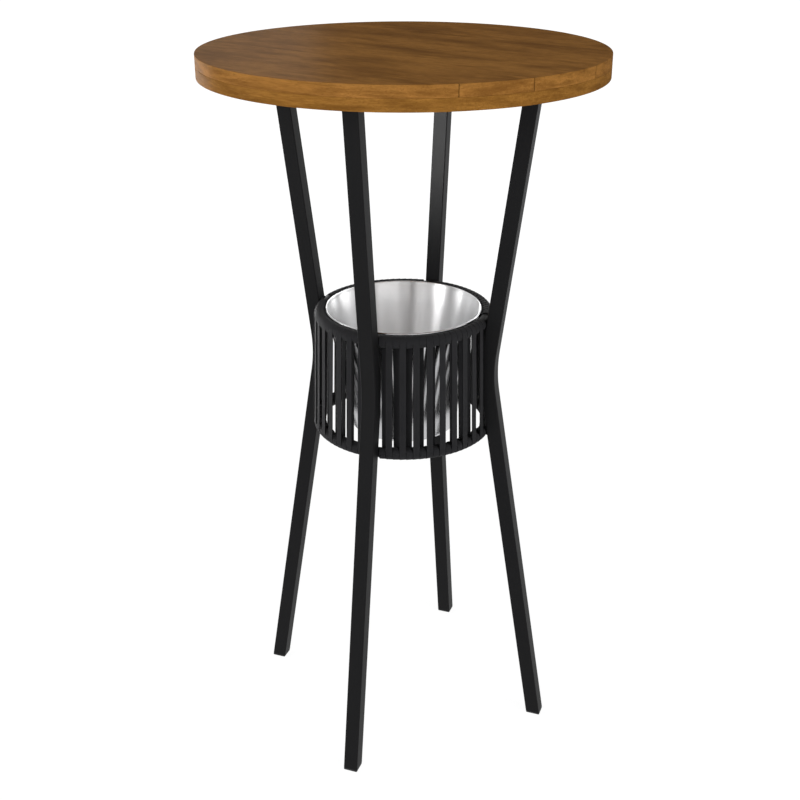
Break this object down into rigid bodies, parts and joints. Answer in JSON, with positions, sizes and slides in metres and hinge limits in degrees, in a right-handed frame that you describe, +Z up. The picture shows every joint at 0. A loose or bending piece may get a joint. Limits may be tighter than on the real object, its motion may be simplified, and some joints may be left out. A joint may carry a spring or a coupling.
{
  "type": "bistro table with ice bucket",
  "caption": "Round-topped bistro table on bent square-tube legs, with a strap-wound basket at its waist that holds a lift-out ice bucket.",
  "frame": {"origin": "on the floor under the middle of the round top", "axes": "+Z up; the four legs stand on +X (right), +Y (back), -X (left) and -Y (front)"},
  "size_m": [0.6, 0.6, 1.12],
  "materials": {
    "board_wood": "satin oiled",
    "panel_wood": "satin oiled",
    "black_frame": "matte powder coat",
    "screw_steel": "zinc plated",
    "plug_plastic": "matte",
    "woven_strap": "flat woven",
    "bucket_steel": "spun bright"
  },
  "bodies": {
    "table": {"front_edge_board": "board_wood", "front_board": "board_wood", "centre_board": "board_wood", "rear_board": "board_wood", "rear_edge_board": "board_wood", "lower_panel": "panel_wood", "long_rail": "black_frame", "front_rail": "black_frame", "back_rail": "black_frame", "rail_screws": "screw_steel", "right_leg": "black_frame", "back_leg": "black_frame", "left_leg": "black_frame", "front_leg": "black_frame", "right_foot_plug": "plug_plastic", "back_foot_plug": "plug_plastic", "left_foot_plug": "plug_plastic", "front_foot_plug": "plug_plastic", "upper_ring": "black_frame", "lower_ring": "black_frame", "right_back_winding": "woven_strap", "back_left_winding": "woven_strap", "left_front_winding": "woven_strap", "front_right_winding": "woven_strap"},
    "bucket": {"ice_bucket": "bucket_steel"}
  },
  "joints": [
    {"name": "bucket_lift", "type": "slide", "parent": "table", "child": "bucket", "axis": [0, 0, 1], "range_m": [0, 0.21]}
  ]
}
